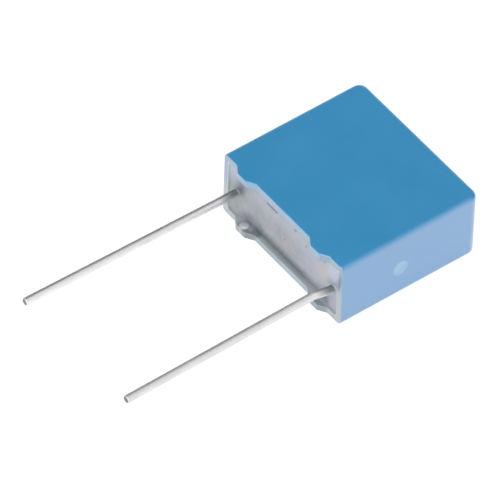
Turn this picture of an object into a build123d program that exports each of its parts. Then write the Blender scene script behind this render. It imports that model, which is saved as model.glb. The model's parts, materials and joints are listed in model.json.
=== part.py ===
from build123d import *
from math import radians, sin
import os

# A box-type polyester film capacitor with two wire leads, lying on one of its large faces.
#
# X runs along the case, from the left lead to the right one. Y runs from the open rim, where the leads
# come out, to the closed end. Z is up. The origin is the middle of the face that the case lies on.

# Case: one moulding, open at the rim (mm, degrees)
case_length = 18.0        # along X
case_height = 16.0        # along Y, from the rim to the closed end, without the feet
case_width = 7.7          # along Z, between the two large faces
side_wall = 0.8           # the two large walls, at the rim
end_wall = 0.65           # the two narrow walls, at the rim
closed_wall = 0.9
draft_angle = 0.3         # the cavity narrows towards the closed end, so that the core pulls out
cavity_corner = 0.4
edge_radius = 0.5         # round along the large faces
corner_radius = 1.0       # the large faces' two corners at the closed end
rim_radius = 0.1          # outer edge of the rim and the feet

# Feet on the rim of both large walls, which hold the case off a circuit board
foot_height = 0.58
foot_offset = 5.55        # middle of the case to the middle of a foot
foot_base = 3.1
foot_top = 1.3
foot_round = 0.35
foot_root = 0.2           # how far a foot's outline reaches back into its wall

# Gate mark: a shallow dish in the right-hand narrow wall
gate_diameter = 1.7
gate_depth = 0.08
gate_from_rim = 6.9
gate_drop = 0.4           # below the middle of the wall

# Potting resin, poured in almost to the rim. Between its ends it has sunk along the two large walls.
resin_depth = 0.15        # below the rim, at the ends and along the middle
resin_sink = 0.45         # how much deeper the surface lies along the large walls
resin_slope_foot = 2.6    # from the end wall to where the surface starts to rise to its end
resin_slope_top = 1.2     # from the end wall to where it has risen
lead_meniscus = 0.12      # how far the resin is drawn up round each lead
resin_skin = 0.35         # between the winding and each large wall
resin_cover = 2.1         # over the winding, at the lead side
resin_base = 0.5          # under the winding, at the closed end
pit_length = 1.6          # shrinkage pit in the surface
pit_width = 0.28
pit_bottom = 0.47         # below the rim
pit_offset = 2.05         # from the middle, towards the left lead
pit_wall_gap = 0.75       # to the upper wall
surface_step = 0.6        # between the points that give the surface its shape
surface_tolerance = 0.005

# Winding: metallised film wound on a flat core, with sprayed metal on both ends
spray_thickness = 0.4

# Leads: round tinned wire, welded along the sprayed ends
lead_diameter = 0.8
lead_pitch = 15.0         # between the tips
lead_wall_gap = 0.15      # between a lead and the end wall's inner face
lead_weld_length = 9.5    # along the sprayed end
lead_weld_depth = 0.12    # how far the wire sinks into the sprayed metal
lead_bend_radius = 0.9
lead_cut_chamfer = 0.08

# Two bends set each lead inwards from the line of its weld. The left one's bends are in the resin, and the
# right one's outer bend is outside it. From there each lead runs straight to its tip.
left_lead_length = 23.9   # from the rim to the tip
left_bend_inset = 0.72    # from the line of the weld to the outer bend
left_bend_start = 1.6     # from the rim to the inner bend, inwards
left_bend_end = 0.5       # from the rim to the outer bend, inwards
right_lead_length = 23.45
right_bend_inset = 0.5
right_bend_start = 0.5
right_bend_end = -1.95    # outside the rim

leads = {
    "left": (-1, left_lead_length, left_bend_inset, left_bend_start, left_bend_end),
    "right": (1, right_lead_length, right_bend_inset, right_bend_start, right_bend_end),
}

rim_y = -case_height / 2
middle_z = case_width / 2
cavity_length = case_length - 2 * end_wall
cavity_width = case_width - 2 * side_wall
cavity_depth = case_height - closed_wall

winding_height = cavity_depth - resin_depth - resin_cover - resin_base
winding_thickness = cavity_width - 2 * resin_skin
winding_y = rim_y + resin_depth + resin_cover + winding_height / 2

lead_radius = lead_diameter / 2
lead_seat_x = cavity_length / 2 - lead_wall_gap - lead_radius
spray_outer_x = lead_seat_x - lead_radius + lead_weld_depth
winding_half_length = spray_outer_x - spray_thickness
lead_inner_y = rim_y + resin_depth + resin_cover + lead_weld_length


def across(depth):
    """The plane across the case, this far below the rim, facing the closed end."""
    return Plane(origin=(0, rim_y + depth, middle_z), x_dir=(1, 0, 0), z_dir=(0, 1, 0))


def on_rim(edge):
    """True for the edges round the outside of the rim and the feet."""
    centre = edge.center()
    reach_x = abs(centre.X) - (case_length / 2 - edge_radius)
    reach_z = abs(centre.Z - middle_z) - (case_width / 2 - edge_radius)
    return centre.Y < rim_y + foot_root / 2 and max(reach_x, reach_z) > 0


# ---- case ---------------------------------------------------------------------------------------
with BuildPart() as cavity:
    with BuildSketch(across(0)):
        Rectangle(cavity_length, cavity_width)
    extrude(amount=cavity_depth, taper=draft_angle)
    fillet(cavity.edges().group_by(Axis.Y)[1], cavity_corner)

with BuildSketch() as foot_profile:
    with BuildLine():
        face = FilletPolyline(
            (-foot_base / 2 - foot_round, 0),
            (-foot_base / 2, 0),
            (-foot_top / 2, -foot_height),
            (foot_top / 2, -foot_height),
            (foot_base / 2, 0),
            (foot_base / 2 + foot_round, 0),
            radius=foot_round,
        )
        Polyline(face @ 1, (face @ 1) + (0, foot_root), (face @ 0) + (0, foot_root), face @ 0)
    make_face()

with BuildPart() as case:
    with BuildSketch(across(0)):
        Rectangle(case_length, case_width)
    extrude(amount=case_height)
    fillet(case.edges().filter_by(Axis.Z).group_by(Axis.Y)[-1], corner_radius)
    large_faces = case.faces().filter_by(Axis.Z)
    fillet(large_faces.edges().sort_by(Axis.Y)[2:], edge_radius)
    for wall_z in (0, case_width - side_wall):
        with BuildSketch(Plane.XY.offset(wall_z)):
            with Locations((-foot_offset, rim_y), (foot_offset, rim_y)):
                add(foot_profile.sketch)
        extrude(amount=side_wall)
    fillet(case.edges().filter_by(on_rim), rim_radius)
    add(cavity.part, mode=Mode.SUBTRACT)
    gate_sphere = (gate_diameter**2 / 4 + gate_depth**2) / (2 * gate_depth)
    gate_centre_x = case_length / 2 - gate_depth + gate_sphere
    with Locations((gate_centre_x, rim_y + gate_from_rim, middle_z - gate_drop)):
        Sphere(gate_sphere, mode=Mode.SUBTRACT)

case.part.label = "case"

# ---- film winding -------------------------------------------------------------------------------
with BuildSketch() as winding_section:
    SlotOverall(winding_height, winding_thickness)

with BuildPart() as film_winding:
    with BuildSketch(Plane.YZ):
        with Locations((winding_y, middle_z)):
            add(winding_section.sketch)
    extrude(amount=winding_half_length, both=True)

film_winding.part.label = "film_winding"

# ---- leads and sprayed ends ---------------------------------------------------------------------
inner_parts = [film_winding.part]
for name, (side, length, inset, bend_start, bend_end) in leads.items():
    with BuildPart() as lead:
        with BuildLine(Plane.XY.offset(middle_z)) as route:
            FilletPolyline(
                (side * lead_seat_x, lead_inner_y),
                (side * lead_seat_x, rim_y + bend_start),
                (side * (lead_seat_x - inset), rim_y + bend_end),
                (side * lead_pitch / 2, rim_y - length),
                radius=lead_bend_radius,
            )
        with BuildSketch(Plane(origin=route.line @ 0, z_dir=route.line % 0)):
            Circle(lead_radius)
        sweep()
        chamfer(lead.edges().sort_by(Axis.Y)[0], lead_cut_chamfer)
    lead.part.label = f"lead_{name}"

    with BuildPart() as end_spray:
        with BuildSketch(Plane.YZ.offset(side * winding_half_length)):
            with Locations((winding_y, middle_z)):
                add(winding_section.sketch)
        extrude(amount=side * spray_thickness)
        add(lead.part, mode=Mode.SUBTRACT)
    end_spray.part.label = f"end_spray_{name}"
    inner_parts += [lead.part, end_spray.part]

# ---- potting resin ------------------------------------------------------------------------------
def at_lead_root(edge):
    """True for the edges where a lead comes out of the resin's surface."""
    centre = edge.center()
    in_surface = rim_y < centre.Y < rim_y + resin_depth + resin_sink
    return in_surface and abs(centre.Z - middle_z) < lead_radius and edge.length < 4 * lead_diameter


def surface_depth(x, z):
    """How far below the rim the resin's surface lies."""
    from_end = cavity_length / 2 - abs(x)
    rise = (from_end - resin_slope_top) / (resin_slope_foot - resin_slope_top)
    along = sin(radians(90) * min(max(rise, 0), 1)) ** 2
    over = (z - middle_z) / (cavity_width / 2)
    return resin_depth + resin_sink * along * over**2


columns = round(case_length / surface_step)
rows = round(case_width / surface_step)
surface_x = [case_length * (column / columns - 0.5) for column in range(columns + 1)]
surface_z = [case_width * row / rows for row in range(rows + 1)]
surface = Face.make_surface_from_array_of_points(
    [[(x, rim_y + surface_depth(x, z), z) for x in surface_x] for z in surface_z],
    tol=surface_tolerance,
)

with BuildPart() as air:
    extrude(surface, amount=case_height, dir=(0, -1, 0))

with BuildPart() as potting_resin:
    add(cavity.part)
    add(air.part, mode=Mode.SUBTRACT)
    add(inner_parts)
    chamfer(potting_resin.edges().filter_by(at_lead_root), lead_meniscus)
    with BuildSketch(across(0)):
        with Locations((-pit_offset, -(cavity_width / 2 - pit_wall_gap - pit_width / 2))):
            SlotOverall(pit_length, pit_width)
    extrude(amount=pit_bottom, mode=Mode.SUBTRACT)
    add(inner_parts, mode=Mode.SUBTRACT)

potting_resin.part.label = "potting_resin"

os.makedirs("parts", exist_ok=True)
for part in [case.part, potting_resin.part] + inner_parts:
    export_step(part, f"parts/{part.label}.step")
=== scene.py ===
# %% [markdown]
# # A film capacitor on a white table
#
# This lesson dresses a small electronic part: a blue moulded box, sealed with pale resin, with two wire
# leads. Inside it is a flat roll of metallised film with sprayed metal on both ends. All seven solids come
# ready from CAD and stay exactly as they are. What Blender adds is the studio round them and the finish of
# every surface: the grain of the moulding, the smears that the resin left on its rim, the clouds and
# pinholes in the resin, and the drawn look of the wire.

# %% Load the solids
import json
from math import cos, pi, radians, sin

import bpy
from mathutils import Matrix, Vector


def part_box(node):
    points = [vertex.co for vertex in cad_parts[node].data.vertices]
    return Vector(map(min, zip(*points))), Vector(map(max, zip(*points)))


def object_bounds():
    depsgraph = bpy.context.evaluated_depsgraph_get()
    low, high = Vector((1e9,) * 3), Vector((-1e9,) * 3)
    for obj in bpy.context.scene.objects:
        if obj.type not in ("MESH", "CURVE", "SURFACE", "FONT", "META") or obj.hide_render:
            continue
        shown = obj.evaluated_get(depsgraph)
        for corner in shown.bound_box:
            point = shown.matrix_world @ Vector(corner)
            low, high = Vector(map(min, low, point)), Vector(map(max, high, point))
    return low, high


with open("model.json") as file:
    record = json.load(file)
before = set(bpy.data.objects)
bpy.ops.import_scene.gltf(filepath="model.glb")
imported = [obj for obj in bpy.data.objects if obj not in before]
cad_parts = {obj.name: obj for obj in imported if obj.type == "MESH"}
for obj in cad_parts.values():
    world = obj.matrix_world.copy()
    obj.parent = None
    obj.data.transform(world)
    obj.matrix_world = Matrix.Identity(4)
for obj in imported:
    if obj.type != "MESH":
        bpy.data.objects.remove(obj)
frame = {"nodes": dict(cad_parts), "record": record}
bpy.ops.object.select_all(action="DESELECT")
cad_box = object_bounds()
MM = 0.001
print("solids:", ", ".join(sorted(frame["nodes"])))

# %% [markdown]
# ## Where the finishes change
#
# The finishes follow the shape: the smears lie round the rim, the gate mark is on one narrow wall, and the
# wire darkens where it leaves the resin. These places are worked out here from the boxes of the solids, so
# that the patterns stay on them. The case's box includes its stand-off feet, which stand out of the rim.

# %% Measure the case
FOOT_HEIGHT = 0.58 * MM
LARGE_WALL = 0.8 * MM
NARROW_WALL = 0.65 * MM
case_low, case_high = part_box("case")
rim_y = case_low.y + FOOT_HEIGHT
middle_z = (case_low.z + case_high.z) / 2
cavity_half_length = case_high.x - NARROW_WALL
cavity_half_width = (case_high.z - case_low.z) / 2 - LARGE_WALL
lower_wall = middle_z - cavity_half_width
upper_wall = middle_z + cavity_half_width
print("rim at y =", round(rim_y / MM, 2), "mm, middle at z =", round(middle_z / MM, 2), "mm")

# %% [markdown]
# ## Camera
#
# A small thing looks best from a distance through a long lens, because its edges then stay nearly
# parallel. The camera is placed by two angles and a distance round the point it looks at, which is easier
# to adjust than a raw position and rotation. A slight roll is added last, as when the camera is held by
# hand.

# %% Place the camera
AIM = Vector((-2.014, -10.114, 1.902)) * MM
AZIMUTH = radians(51.327)
ELEVATION = radians(47.529)
ROLL = radians(2.224)
DISTANCE = 779 * MM
LENS = 606.77
SENSOR_WIDTH = 36
NEAREST, FARTHEST = 0.01, 100

backward = Vector((sin(AZIMUTH) * cos(ELEVATION), -cos(AZIMUTH) * cos(ELEVATION), sin(ELEVATION)))
camera_data = bpy.data.cameras.new("camera")
camera_data.lens = LENS
camera_data.sensor_width = SENSOR_WIDTH
camera_data.clip_start = NEAREST
camera_data.clip_end = FARTHEST
camera = bpy.data.objects.new("camera", camera_data)
level = backward.to_track_quat("Z", "Y").to_matrix()
turned = level @ Matrix.Rotation(ROLL, 3, "Z")
camera.matrix_world = Matrix.Translation(AIM + backward * DISTANCE) @ turned.to_4x4()
bpy.context.scene.collection.objects.link(camera)
bpy.context.scene.camera = camera
bpy.context.scene.view_settings.view_transform = "Standard"
print("camera at", [round(v, 3) for v in camera.matrix_world.translation], "lens", LENS, "mm")

# %% [markdown]
# ## Writing shaders as sums
#
# A procedural finish is arithmetic on noise: a bit of this, times a bit of that. Wired by hand it is hard
# to read, so a small class wraps a socket and lets Python's own operators add the Math nodes. The
# reflected forms are there too, so that `1 - mask` works as well as `mask * 2`. A mask is 1 where a finish
# lies and 0 elsewhere, and `a | b` is the larger of two masks, so it covers what either of them covers.

# %% Wrap a socket
class Value:
    """One output of a shader node tree, with arithmetic."""

    def __init__(self, shader, socket):
        self.shader = shader
        self.socket = socket

    def math(self, operation, *others):
        """A Math node on this value and the others."""
        return self.shader.node("ShaderNodeMath", {"operation": operation}, [self, *others])

    def __add__(self, other):
        return self.math("ADD", other)

    def __sub__(self, other):
        return self.math("SUBTRACT", other)

    def __rsub__(self, other):
        return self.shader.node("ShaderNodeMath", {"operation": "SUBTRACT"}, [other, self])

    def __mul__(self, other):
        return self.math("MULTIPLY", other)

    def __or__(self, other):
        return self.math("MAXIMUM", other)

    def __abs__(self):
        return self.math("ABSOLUTE")

    __radd__ = __add__
    __rmul__ = __mul__

    def mapped(self, low, high, new_low=0.0, new_high=1.0):
        """This value with low..high turned into new_low..new_high, and clamped there."""
        return self.shader.node("ShaderNodeMapRange", {}, [self, low, high, new_low, new_high])

    def outside(self, edge, soft):
        """1 where this value is over edge, 0 where it is under, changing over the length soft."""
        return self.mapped(edge - soft / 2, edge + soft / 2)

    def within(self, edge, soft):
        """1 where this value is under edge, 0 where it is over."""
        return self.mapped(edge - soft / 2, edge + soft / 2, 1.0, 0.0)


def distance(across, along):
    """How far off a point is, from its two offsets."""
    return (across * across + along * along).math("SQRT")


# %% [markdown]
# ## One method for every node
#
# Every node is made by the same method: its type, its settings, and what goes into its sockets. On top of
# that come a few short ones for what the finishes below need again and again. Noise is asked for by the
# size of its blotches in metres, because that is how a maker thinks of a grain, and it may be stretched
# along an axis. All of them read Object coordinates, which stay with the part wherever it goes.

# %% Wrap a node tree
class Shader:
    """A material's or a world's node tree, emptied and ready to be written."""

    def __init__(self, owner):
        owner.use_nodes = True
        self.tree = owner.node_tree
        self.tree.nodes.clear()

    def node(self, kind, settings=None, inputs=(), output=0):
        """Adds a node with its settings made first, then its sockets' values or links."""
        made = self.tree.nodes.new(kind)
        for name, setting in (settings or {}).items():
            setattr(made, name, setting)
        pairs = inputs.items() if isinstance(inputs, dict) else enumerate(inputs)
        for key, given in pairs:
            if isinstance(given, Value):
                self.tree.links.new(given.socket, made.inputs[key])
            elif given is not None:
                made.inputs[key].default_value = given
        return Value(self, made.outputs[output]) if made.outputs else None

    def place(self):
        """The point being shaded, in metres, in the part's own frame."""
        return self.node("ShaderNodeTexCoord", output="Object")

    def axes(self):
        """Its three coordinates."""
        place = self.place()
        return [self.node("ShaderNodeSeparateXYZ", {}, [place], output=axis) for axis in range(3)]

    def moved(self, size, stretch, seed):
        """That point on a scale where one blotch is 1 across, shifted by the seed."""
        scale = [1 / (size * along) for along in stretch]
        sockets = {"Vector": self.place(), "Location": seed, "Scale": scale}
        return self.node("ShaderNodeMapping", {}, sockets)

    def noise(self, size, detail=2.0, roughness=0.5, stretch=(1, 1, 1), seed=(0, 0, 0)):
        """Soft noise, 0 to 1, whose blotches are about size metres across, times stretch."""
        sockets = {"Vector": self.moved(size, stretch, seed), "Scale": 1.0}
        return self.node("ShaderNodeTexNoise", {}, {**sockets, "Detail": detail, "Roughness": roughness})

    def spots(self, size, seed=(0, 0, 0)):
        """The distance to the nearest of many scattered points, which are about size metres apart."""
        sockets = {"Vector": self.moved(size, (1, 1, 1), seed), "Scale": 1.0}
        return self.node("ShaderNodeTexVoronoi", {}, sockets)

    def tint(self, amount, colour_a, colour_b):
        """colour_a where amount is 0, colour_b where it is 1."""
        settings = {"data_type": "RGBA"}
        return self.node("ShaderNodeMix", settings, {0: amount, 6: colour_a, 7: colour_b}, output=2)

    def bump(self, height, rise, under=None):
        """A surface normal from a height of 0 to 1, where 1 stands rise metres high."""
        return self.node("ShaderNodeBump", {}, {"Height": height, "Distance": rise, "Normal": under})

    def surface(self, **sockets):
        """The finished surface: one Principled shader."""
        inputs = {name.replace("_", " "): given for name, given in sockets.items()}
        made = self.node("ShaderNodeBsdfPrincipled", {}, inputs)
        self.node("ShaderNodeOutputMaterial", {}, [made])


# %% Give a solid its finish
def rgb(red, green, blue):
    """An opaque colour."""
    return (red, green, blue, 1.0)


def new_material(name):
    """A new material and the tree to write it in."""
    material = bpy.data.materials.new(name)
    return material, Shader(material)


def dress(node, material):
    """Gives a CAD node its finish."""
    slots = frame["nodes"][node].data.materials
    slots.clear()
    slots.append(material)
    print(node, "is finished in", material.name, "with", len(material.node_tree.nodes), "shader nodes")


# %% [markdown]
# ## Table
#
# The part lies on a sheet of white paper. The table is a disc so wide that no view sees its edge. Paper in
# the light of a soft box comes out a little grey, and lighting it until it is pure white would wash out
# the part as well. So rays that come straight from the camera, or off a shiny or clear surface, see paper
# that also glows a little. The light that lights the part doesn't change.

# %% Lay the table
TABLE_RADIUS = 12
PAPER_WHITE = 0.85
GLOW = 1.25
GLOW_SHARE = 0.65

table_top = (0, 0, cad_box[0].z)
bpy.ops.mesh.primitive_circle_add(vertices=64, radius=TABLE_RADIUS, fill_type="NGON", location=table_top)
table = bpy.context.object
table.name = "table"

paper, shader = new_material("white_paper")
rays = [f"Is {kind} Ray" for kind in ("Camera", "Glossy", "Transmission")]
from_camera, off_gloss, through_glass = [shader.node("ShaderNodeLightPath", output=ray) for ray in rays]
sheet = shader.node("ShaderNodeBsdfDiffuse", {}, [rgb(PAPER_WHITE, PAPER_WHITE, PAPER_WHITE)])
glow = shader.node("ShaderNodeEmission", {}, [rgb(1, 1, 1), GLOW])
glowing = (from_camera | off_gloss | through_glass) * GLOW_SHARE
mixed = shader.node("ShaderNodeMixShader", {}, [glowing, sheet, glow])
shader.node("ShaderNodeOutputMaterial", {}, [mixed])
table.data.materials.append(paper)
print("table at z =", round(table_top[2] / MM, 3), "mm")

# %% [markdown]
# ## Studio light
#
# A satin surface shows what is opposite it. Here the room is bright on the side where the camera stands,
# and dim behind the part, so the two upright faces turn pale while the top face keeps its full blue. Low
# down the brightness reaches further round, as a white table would carry it. One large soft box high above
# gives the soft shadow under the part.
#
# That leaves the two faces behind in the dark. A second lamp, low at the back, fills them. It is kept out
# of reflections, because mirrored in the top face it would wash out the blue.

# %% Light the room
SKY_LOW = 1.0
SKY_NEAR = 1.2
SKY_FAR = 0.13

world = bpy.data.worlds.new("studio")
bpy.context.scene.world = world
shader = Shader(world)
direction = shader.node("ShaderNodeTexCoord", output="Generated")
up = shader.node("ShaderNodeSeparateXYZ", {}, [direction], output=2)
near_side = Vector((backward.x, backward.y, 0)).normalized()
settings = {"operation": "DOT_PRODUCT"}
toward = shader.node("ShaderNodeVectorMath", settings, [direction, tuple(near_side)], output=1)
low_down = up.mapped(0.0, 0.2, SKY_LOW, 0.0) * toward.mapped(-0.6, 0.0)
sky = low_down | toward.mapped(-0.1, 0.6, SKY_FAR, SKY_NEAR)
room = shader.node("ShaderNodeBackground", {}, [sky, 1.0])
shader.node("ShaderNodeOutputWorld", {}, [room])
print("the room goes from", SKY_FAR, "behind the part to", SKY_NEAR, "in front of it")


# %% Hang the lamps
def hang_lamp(name, size, power, place):
    """A round soft lamp that looks at the part."""
    lamp_data = bpy.data.lights.new(name, "AREA")
    lamp_data.shape = "DISK"
    lamp_data.size = size
    lamp_data.energy = power
    lamp = bpy.data.objects.new(name, lamp_data)
    lamp.location = place
    lamp.rotation_euler = Vector(place).to_track_quat("Z", "Y").to_euler()
    bpy.context.scene.collection.objects.link(lamp)
    print(name, "of", size, "m and", power, "W at", place)
    return lamp


hang_lamp("softbox", 1.4, 8.1, (0.2, -0.35, 0.95))
fill = hang_lamp("fill", 0.8, 6.0, (-0.65, 0.7, 0.3))
fill.visible_glossy = False

# %% [markdown]
# ## Blue case
#
# The box is moulded in glass-filled polyester, in a mould whose faces were spark-eroded, so it has a fine
# even grain, a soft gloss, and a faint unevenness where the melt flowed. The blue could be one flat
# colour, but a real moulding is never quite even, so it drifts between two close blues. The two narrow
# faces are painted a shade paler and more violet, as painted light. The gate is the small round dish where
# the melt came in: cut plastic, paler and duller than the skin round it.
#
# All of these are masks, and so is what comes in the next cells. They could be painted by hand on a UV
# map, but sums of the coordinates follow the shape exactly, and need no map.

# %% Describe the case in masks
GATE_RADIUS = 0.85 * MM
GATE_FROM_RIM = 6.9 * MM
GATE_DROP = 0.4 * MM
EDGE = 0.06 * MM

plastic, shader = new_material("blue_plastic")
x, y, z = shader.axes()
from_rim = y - rim_y
from_middle = abs(z - middle_z)
from_centre = abs(x)
upper = z.outside(middle_z, 2 * MM)
lower = 1 - upper
left = x.within(0, 1 * MM)
at_ends = from_centre.mapped(5.8 * MM, 7.2 * MM)

painted_light_narrow_faces = from_centre.outside(case_high.x - 0.2 * MM, 0.3 * MM)
off_large_faces = from_middle.within(case_high.z - middle_z - EDGE, EDGE)
rim_faces = from_rim.within(EDGE, EDGE) * off_large_faces
inside_narrow = from_centre.within(cavity_half_length + 0.04 * MM, 0.04 * MM)
inside_large = from_middle.within(cavity_half_width + 0.04 * MM, 0.04 * MM)
inner_faces = inside_narrow * inside_large * from_rim.within(1 * MM, 0.2 * MM)
off_gate = distance(from_rim - GATE_FROM_RIM, z - (middle_z - GATE_DROP))
gate = off_gate.within(GATE_RADIUS, 0.25 * MM) * x.outside(case_high.x - 0.2 * MM, 0.1 * MM)
print("gate mark", GATE_RADIUS / MM, "mm in radius,", GATE_FROM_RIM / MM, "mm from the rim")

# %% [markdown]
# ## Resin on the rim
#
# The resin was poured in through the open end. Some of it wetted the inner walls and ran onto the rim,
# where it dried to a thin grey film with a broken edge. It is thickest at the two ends, where the box was
# overfilled, and on the lower wall. A noise pushes the edge of the mask in and out, which breaks it up as
# a real edge is. Deep in the corner along the lower wall the film is painted dark, as painted shade, most
# of all on the left. The inner faces of the end walls are painted pale, as painted light that lifts the
# shade in that narrow gap.

# %% Spread the film of resin
FILM_WIDTH_ON_RIM = 0.4 * MM
RAGGEDNESS = 0.9 * MM

ragged = shader.noise(0.9 * MM, detail=4, roughness=0.6)
past_wall = from_middle - cavity_half_width + (ragged - 0.5) * RAGGEDNESS
near_cavity = past_wall.within(FILM_WIDTH_ON_RIM, 0.3 * MM)
on_rim = rim_faces * (near_cavity | lower * 0.8) * 0.85
on_ends = rim_faces * at_ends * (left | ragged.mapped(0.25, 0.45)) * 0.9
film = (on_rim | on_ends | inner_faces * 0.95) * ragged.mapped(0.3, 0.6, 0.75, 1.0)
# Painted light: the inner faces of the end walls, lifted out of their shade.
painted_light_end_walls = inner_faces * from_centre.outside(cavity_half_length - 0.1 * MM, 0.1 * MM)
# Painted shade deep in the corner along the lower wall.
deep = from_rim.mapped(0.05 * MM, 0.5 * MM) * (1 - at_ends)
corner = inner_faces * lower * deep * x.mapped(2 * MM, 4.5 * MM, 1.0, 0.4)
print("film", FILM_WIDTH_ON_RIM / MM, "mm wide on the rim, give or take", RAGGEDNESS / 2 / MM, "mm")

# %% [markdown]
# ## Painted shade on the lower feet
#
# The right-hand half of each lower foot is painted dark, as painted shade, and so is a patch on the rim
# beside the left foot. A drop of resin has set on the left foot. Its pale colour is partly a painted
# highlight, and the dark ring round it is painted shade. It could be a small dome of its own, but it
# stands out so little that a round mask for its colour and a cone of bump for its swell do as well.

# %% Paint shade on the lower feet
FOOT_OFFSET = 5.55 * MM
DROP_RADIUS = 0.45 * MM
DROP_OUT = 0.12 * MM
SHADE_PATCH_RADIUS = 0.6 * MM
SHADE_PATCH_OFFSET = 1.4 * MM

from_foot = x - x.math("SIGN") * FOOT_OFFSET
feet = from_rim.within(-0.02 * MM, 0.2 * MM) * lower * off_large_faces
shaded_half = from_foot.outside(-0.3 * MM, 0.8 * MM) * x.mapped(0.0, 1 * MM, 0.85, 0.6)
off_shade_patch = distance(x + FOOT_OFFSET - SHADE_PATCH_OFFSET, z - lower_wall)
shade_patch = off_shade_patch.within(SHADE_PATCH_RADIUS, 0.5 * MM) * (rim_faces | inner_faces)

lower_left = lower * left * off_large_faces
off_drop = distance(from_foot, from_rim + DROP_OUT)
drop_and_highlight = off_drop.within(DROP_RADIUS, 0.2 * MM) * lower_left
swell = off_drop.mapped(0.0, DROP_RADIUS, 1.0, 0.0) * lower_left
shade_ring = off_drop.within(1.5 * DROP_RADIUS, 0.3 * MM) * lower_left
# Painted shade: the dark half of each lower foot, the patch beside the left foot, and the ring round the
# drop.
painted_foot_shade = feet * shaded_half | shade_patch * 0.85 | shade_ring * 0.6
print("drop_and_highlight", DROP_RADIUS / MM, "mm in radius, on the foot", -FOOT_OFFSET / MM, "mm from the middle")

# %% [markdown]
# ## The case's colours
#
# With the masks made, the finish is laid on layer by layer: the plastic with its drift, its flow lines
# and its grain, with painted light on the narrow faces and a painted highlight on the rim, then the
# resin's film with its painted light and painted shade, then the painted shade on the feet, and the drop
# last, partly a painted highlight. Each layer is one tint over the colour so far.
#
# The gloss comes from the plastic and from a clear coat over it. Both have a rather high IOR, so that the
# upright faces take on much of the bright side of the room.

# %% Colour the case
drift = shader.noise(3 * MM, detail=3)
flow = shader.noise(0.5 * MM, detail=2, stretch=(1, 8, 1), seed=(4, 1, 7))
grain = shader.noise(0.07 * MM, detail=1)
blue = shader.tint(drift.mapped(0.3, 0.7), rgb(0.012, 0.23, 0.465), rgb(0.016, 0.245, 0.49))
blue = shader.tint(flow.mapped(0.45, 0.75) * 0.15, blue, rgb(0.02, 0.255, 0.5))
blue = shader.tint(grain.mapped(0.55, 0.75) * 0.12, blue, rgb(0.004, 0.19, 0.40))
# Painted light: the two narrow faces are tinted a shade paler and more violet.
blue = shader.tint(painted_light_narrow_faces * 0.5, blue, rgb(0.07, 0.235, 0.52))
blue = shader.tint(gate * drift.mapped(0.3, 0.7, 0.6, 0.85), blue, rgb(0.19, 0.43, 0.62))
# Painted highlight: the rim faces are tinted a pale blue.
blue = shader.tint(rim_faces * 0.6, blue, rgb(0.12, 0.37, 0.56))

dried = shader.tint(upper, rgb(0.29, 0.33, 0.34), rgb(0.20, 0.28, 0.38))
dried = shader.tint(lower * at_ends, dried, rgb(0.38, 0.42, 0.43))
colour = shader.tint(film, blue, dried)
colour = shader.tint(inner_faces * lower * 0.8, colour, rgb(0.38, 0.41, 0.43))
# Painted light on the end walls, then painted shade in the lower corner.
colour = shader.tint(painted_light_end_walls, colour, rgb(0.62, 0.64, 0.70))
colour = shader.tint(corner * 0.75, colour, rgb(0.17, 0.20, 0.22))
# Painted shade on the feet, then the drop, whose pale colour is partly a painted highlight.
colour = shader.tint(painted_foot_shade, colour, rgb(0.10, 0.13, 0.14))
colour = shader.tint(drop_and_highlight, colour, rgb(0.50, 0.54, 0.58))
print("the case's colours take", len(shader.tree.nodes), "shader nodes")

# %% Finish the case
PLASTIC_IOR = 1.8

waves = shader.bump(shader.noise(0.7 * MM, detail=1, seed=(2, 9, 3)), 0.002 * MM)
texture = shader.bump(grain, 0.002 * MM, under=waves)
smears = shader.bump(ragged * film, 0.02 * MM, under=texture)
shader.surface(
    Base_Color=colour,
    Roughness=drift.mapped(0.3, 0.7, 0.29, 0.35) + film * 0.08 + gate * 0.12,
    IOR=PLASTIC_IOR,
    Coat_Weight=1.0,
    Coat_IOR=PLASTIC_IOR,
    Coat_Roughness=0.3,
    Normal=shader.bump(swell, 0.15 * MM, under=smears),
)
dress("case", plastic)

# %% [markdown]
# ## Resin
#
# The box is closed with a pale grey epoxy, filled with mineral powder. It sets slowly, and by then it has
# clouded: cooler where the filler sank, warmer where it didn't, with patches of pink and of green. On this
# one the left end is greener, and the right end bluer with one peach patch. The right end, more so towards
# the top, is also painted paler, as painted light. The edge along the upper wall is painted paler, as
# painted light, and the sunk edge along the lower wall darker, as painted shade. Each of these is a mask
# of the place, or a noise of its own, laid over the clouds.

# %% Cloud the resin
UPPER_BAND = 2.6 * MM
LOWER_BAND = 2.0 * MM
SUNK_MIDDLE = -1.4 * MM
SUNK_HALF = 4.2 * MM
PEACH_X, PEACH_Z, PEACH_RADIUS = 6.0 * MM, 4.6 * MM, 0.9 * MM

resin, shader = new_material("pale_resin")
x, y, z = shader.axes()
clouds = shader.noise(2.2 * MM, detail=3, seed=(3, 5, 1))
powder = shader.noise(0.12 * MM, detail=2, seed=(8, 2, 6))
pink = shader.noise(1.1 * MM, detail=2, seed=(1, 7, 2))
green = shader.noise(1.4 * MM, detail=2, seed=(9, 2, 4))
colour = shader.tint(clouds.mapped(0.35, 0.65), rgb(0.235, 0.265, 0.30), rgb(0.295, 0.315, 0.38))
colour = shader.tint(pink.mapped(0.46, 0.6) * 0.6, colour, rgb(0.40, 0.33, 0.375))
colour = shader.tint(green.mapped(0.46, 0.6) * 0.5, colour, rgb(0.285, 0.34, 0.305))

to_the_left = x.mapped(-4 * MM, -8 * MM) * 0.5
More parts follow.
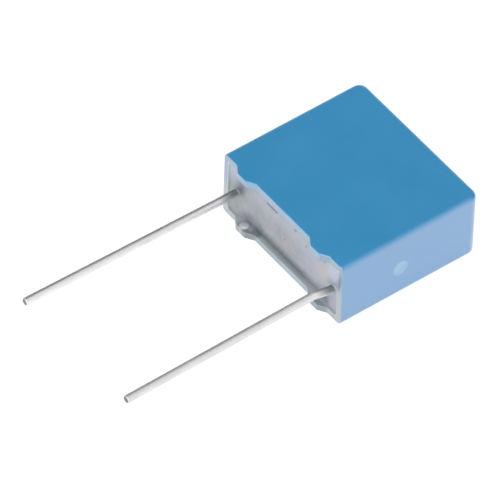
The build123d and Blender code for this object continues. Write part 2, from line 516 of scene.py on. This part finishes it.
# Partly painted light: the right end, more towards the top, is tinted bluer and also paler.
right_end_tint_and_light = x.mapped(1 * MM, 7.5 * MM) * z.mapped(middle_z - 2 * MM, middle_z + 1 * MM, 0.5, 0.9)
colour = shader.tint(to_the_left, colour, rgb(0.29, 0.35, 0.335))
colour = shader.tint(right_end_tint_and_light, colour, rgb(0.455, 0.475, 0.61))
colour = shader.tint(powder.mapped(0.4, 0.7) * 0.15, colour, rgb(0.30, 0.31, 0.34))

# Painted light: the resin along the upper wall is tinted paler.
light_along_upper = z.mapped(upper_wall - UPPER_BAND, upper_wall - 0.6 * MM) * 0.7
# Painted shade: darker towards the lower wall, over the sunk stretch.
shade_along_lower = z.mapped(lower_wall, lower_wall + LOWER_BAND, 1.0, 0.0)
sunk_part = abs(x - SUNK_MIDDLE).within(SUNK_HALF, 2 * MM) * 0.55
peach = distance(x - PEACH_X, z - PEACH_Z).within(PEACH_RADIUS, PEACH_RADIUS) * 0.7
colour = shader.tint(light_along_upper, colour, rgb(0.46, 0.51, 0.62))
colour = shader.tint(shade_along_lower * shade_along_lower * sunk_part, colour, rgb(0.15, 0.18, 0.21))
colour = shader.tint(peach, colour, rgb(0.49, 0.44, 0.43))
print("the resin's clouds take", len(shader.tree.nodes), "shader nodes")

# %% [markdown]
# ## Painted shade round the leads
#
# The resin wets the leads and draws up round them. Round each lead's root the resin is painted dark, as
# painted shade and painted reflection: the lead's shadow and its dark mirror image. These patches follow
# the leads, so their places come from the record: every lead is a mount there, with a point on its axis
# and a direction. Going along the axis to the rim gives the lead's root.

# %% Find where the leads leave the resin
def lead_at(side, at_y):
    """Where the middle of a lead is at this y."""
    mount = next(m for m in frame["record"]["mounts"] if m["name"] == f"lead_pin_{side}")
    point, axis = Vector(mount["pos_m"]), Vector(mount["axis"])
    return point + axis * ((at_y - point.y) / axis.y)


roots = {side: lead_at(side, rim_y) for side in ("left", "right")}
print({side: [round(v / MM, 2) for v in root] for side, root in roots.items()})

# %% Paint shade round the leads
LEAD_SHADES = [  # the lead, then off its root along x and up z, radius, and how dark
    ("left", 0.4 * MM, 0.75 * MM, 0.6 * MM, 0.75),
    ("left", 0.65 * MM, 1.9 * MM, 0.6 * MM, 0.6),
    ("right", 0.1 * MM, 0.2 * MM, 0.65 * MM, 0.35),
]
LEAD_SHADE_EDGE = 0.8 * MM

# Painted shade and painted reflection: each patch darkens the resin where the lead's shadow and dark mirror
# image lie.
for side, along, above, radius, darkness in LEAD_SHADES:
    off_lead_shade = distance(x - (roots[side].x + along), z - (roots[side].z + above))
    colour = shader.tint(off_lead_shade.within(radius, LEAD_SHADE_EDGE) * darkness, colour, rgb(0.10, 0.12, 0.13))
print(len(LEAD_SHADES), "lead_shades")

# %% [markdown]
# ## Pinholes
#
# A few bubbles burst at the surface of the resin and left pinholes. They are the insides of small circles
# round scattered points: painted dark in the colour as painted shade in the holes, and pressed in by the
# bump. A softer bump under them gives the surface the slight waviness of a poured one.

# %% Finish the resin
PINHOLE_SPACING = 1.3 * MM
PINHOLE = 0.1

holes = shader.spots(PINHOLE_SPACING, seed=(5, 3, 9)).within(PINHOLE, PINHOLE / 2)
# Painted shade inside the pinholes.
colour = shader.tint(holes * 0.7, colour, rgb(0.26, 0.26, 0.28))
skin = shader.bump(shader.noise(0.5 * MM, detail=2, seed=(6, 6, 1)), 0.006 * MM)
shader.surface(
    Base_Color=colour,
    Roughness=clouds.mapped(0.3, 0.7, 0.28, 0.4),
    IOR=1.6,
    Normal=shader.bump(1 - holes, 0.05 * MM, under=skin),
)
dress("potting_resin", resin)

# %% [markdown]
# ## Film winding
#
# Inside is the capacitor itself: two metallised polyester films, wound some hundreds of turns on a flat
# former and pressed. Nobody sees it while the box is whole, but whoever takes the part apart will. On its
# two ends the edges of the turns show as fine lines that follow the outline of the roll, so the pattern is
# made from the distance to the flat core: straight along the middle, round at both ends.

# %% Measure the roll
TURN = 0.06 * MM
roll_low, roll_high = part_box("film_winding")
roll_middle = (roll_low + roll_high) / 2
core_half = (roll_high.y - roll_low.y - (roll_high.z - roll_low.z)) / 2
print("flat core", round(2 * core_half / MM, 2), "mm across, a line every", TURN / MM, "mm")

# %% Finish the winding
film_wound, shader = new_material("metallised_film")
x, y, z = shader.axes()
past_core = (abs(y - roll_middle.y) - core_half) | 0.0
from_core = distance(past_core, z - roll_middle.z)
turns = (from_core * (2 * pi / TURN)).math("SINE").mapped(-1, 1)
on_the_ends = abs(x).outside(roll_high.x - 0.02 * MM, 0.02 * MM)
wrinkles = shader.noise(0.8 * MM, detail=3, stretch=(6, 1, 1))
outer = shader.tint(wrinkles.mapped(0.3, 0.7), rgb(0.56, 0.56, 0.55), rgb(0.66, 0.65, 0.61))
ends = shader.tint(turns, rgb(0.35, 0.35, 0.36), rgb(0.72, 0.72, 0.73))
creases = shader.bump(wrinkles, 0.02 * MM)
shader.surface(
    Base_Color=shader.tint(on_the_ends, outer, ends),
    Metallic=0.8,
    Roughness=wrinkles.mapped(0.3, 0.7, 0.22, 0.36) + on_the_ends * 0.15,
    Normal=shader.bump(turns * on_the_ends, 0.01 * MM, under=creases),
)
dress("film_winding", film_wound)

# %% [markdown]
# ## Sprayed ends
#
# Both ends of the roll are sprayed with molten zinc, which joins the edges of all the turns. The drops
# freeze where they land, so the coat is granular, matt and a little uneven in tone. Two sizes of noise do
# it: flattened drops, and a finer dust on top of them.

# %% Finish the sprayed ends
spray, shader = new_material("sprayed_zinc")
drops = shader.noise(0.16 * MM, detail=3, roughness=0.65, seed=(2, 4, 8))
dust = shader.noise(0.04 * MM, detail=1, seed=(7, 1, 3))
shade = shader.noise(1.4 * MM, detail=2)
colour = shader.tint(drops.mapped(0.35, 0.65), rgb(0.34, 0.34, 0.35), rgb(0.52, 0.52, 0.53))
colour = shader.tint(shade.mapped(0.4, 0.7) * 0.4, colour, rgb(0.30, 0.31, 0.33))
lumps = shader.bump(drops, 0.04 * MM)
shader.surface(
    Base_Color=colour,
    Metallic=0.7,
    Roughness=drops.mapped(0.3, 0.7, 0.6, 0.8),
    Normal=shader.bump(dust, 0.008 * MM, under=lumps),
)
for side in ("left", "right"):
    dress(f"end_spray_{side}", spray)

# %% [markdown]
# ## Leads
#
# The leads are tinned wire. Wire is pulled through a die, which leaves fine lines along it, so the noise
# that makes them is very thin across the wire and long along it. Tin dulls in the air in patches, the
# right wire more than the left. The underside of both wires is painted a little darker, as painted shade.
# At the box, resin has crept up the wire with a ragged edge, and above it the wire's upper side is painted
# dark, as painted shade and painted reflection.
#
# At the tip the cutter has bared the steel core with a thin ring of copper round it. The tips are cut
# square to the wire, so a mask of the distance to its axis shows core, ring and tin as three colours.

# %% Colour the tin
TIN = {"left": 1.0, "right": 0.92}
DULLNESS = {"left": 0.0, "right": 0.1}
SHADE_LENGTH = 2.1 * MM
CREEP = 0.5 * MM


def grey(shade):
    """A colour without a hue."""
    return rgb(shade, shade, shade)


def colour_tin(shader, side, y, z, lines, dull, crept):
    """The wire's colour along its length, before it is cut."""
    bright, dim = 0.88 * TIN[side], 0.80 * TIN[side]
    colour = shader.tint(dull.mapped(0.35, 0.65), rgb(bright, bright, 0.99 * bright), grey(dim))
    colour = shader.tint(lines.mapped(0.45, 0.75) * 0.25, colour, rgb(0.70, 0.70, 0.71))
    colour = shader.tint(crept, colour, rgb(0.46, 0.50, 0.49))
    upper_side = z.mapped(middle_z - 0.1 * MM, middle_z + 0.25 * MM)
    # Painted shade and painted reflection: the wire's upper side near the box is tinted dark.
    shaded_upper_side = y.mapped(rim_y - SHADE_LENGTH, rim_y - 0.5 * MM) * upper_side * 0.85
    colour = shader.tint(shaded_upper_side, colour, rgb(0.07, 0.08, 0.08))
    # Painted shade: the wire's underside is tinted a little darker.
    shaded_underside = z.mapped(middle_z, middle_z - 0.22 * MM)
    return shader.tint(shaded_underside * 0.6, colour, grey(0.68))


# %% Finish the leads
CORE_RADIUS = 0.28 * MM
COPPER_RADIUS = 0.31 * MM
CUT_EDGE = 0.02 * MM


def finish_lead(side):
    """Dresses one lead. Both are alike, but each has its own line and its own tip."""
    tin, shader = new_material(f"tinned_wire_{side}")
    x, y, z = shader.axes()
    seed_x = roots[side].x
    lines = shader.noise(0.03 * MM, detail=2, stretch=(1, 90, 1), seed=(seed_x, 3, 5))
    dull = shader.noise(0.8 * MM, detail=3, stretch=(1, 2.5, 1), seed=(seed_x, 1, 4))
    crept = (y + dull * (0.8 * MM)).outside(rim_y - CREEP, 0.25 * MM)
    colour = colour_tin(shader, side, y, z, lines, dull, crept)

    tip_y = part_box(f"lead_{side}")[0].y
    tip = lead_at(side, tip_y)
    off_axis = distance(x - tip.x, z - tip.z)
    cut = y.within(tip_y + CUT_EDGE, CUT_EDGE)
    colour = shader.tint(cut, colour, grey(0.30))
    colour = shader.tint(cut * off_axis.within(COPPER_RADIUS, CUT_EDGE), colour, rgb(0.30, 0.17, 0.11))
    colour = shader.tint(cut * off_axis.within(CORE_RADIUS, CUT_EDGE), colour, grey(0.19))

    shader.surface(
        Base_Color=colour,
        Metallic=1 - crept - cut,
        Roughness=dull.mapped(0.3, 0.7, 0.42, 0.54) + DULLNESS[side],
        Normal=shader.bump(lines, 0.0015 * MM),
    )
    dress(f"lead_{side}", tin)


for side in ("left", "right"):
    finish_lead(side)
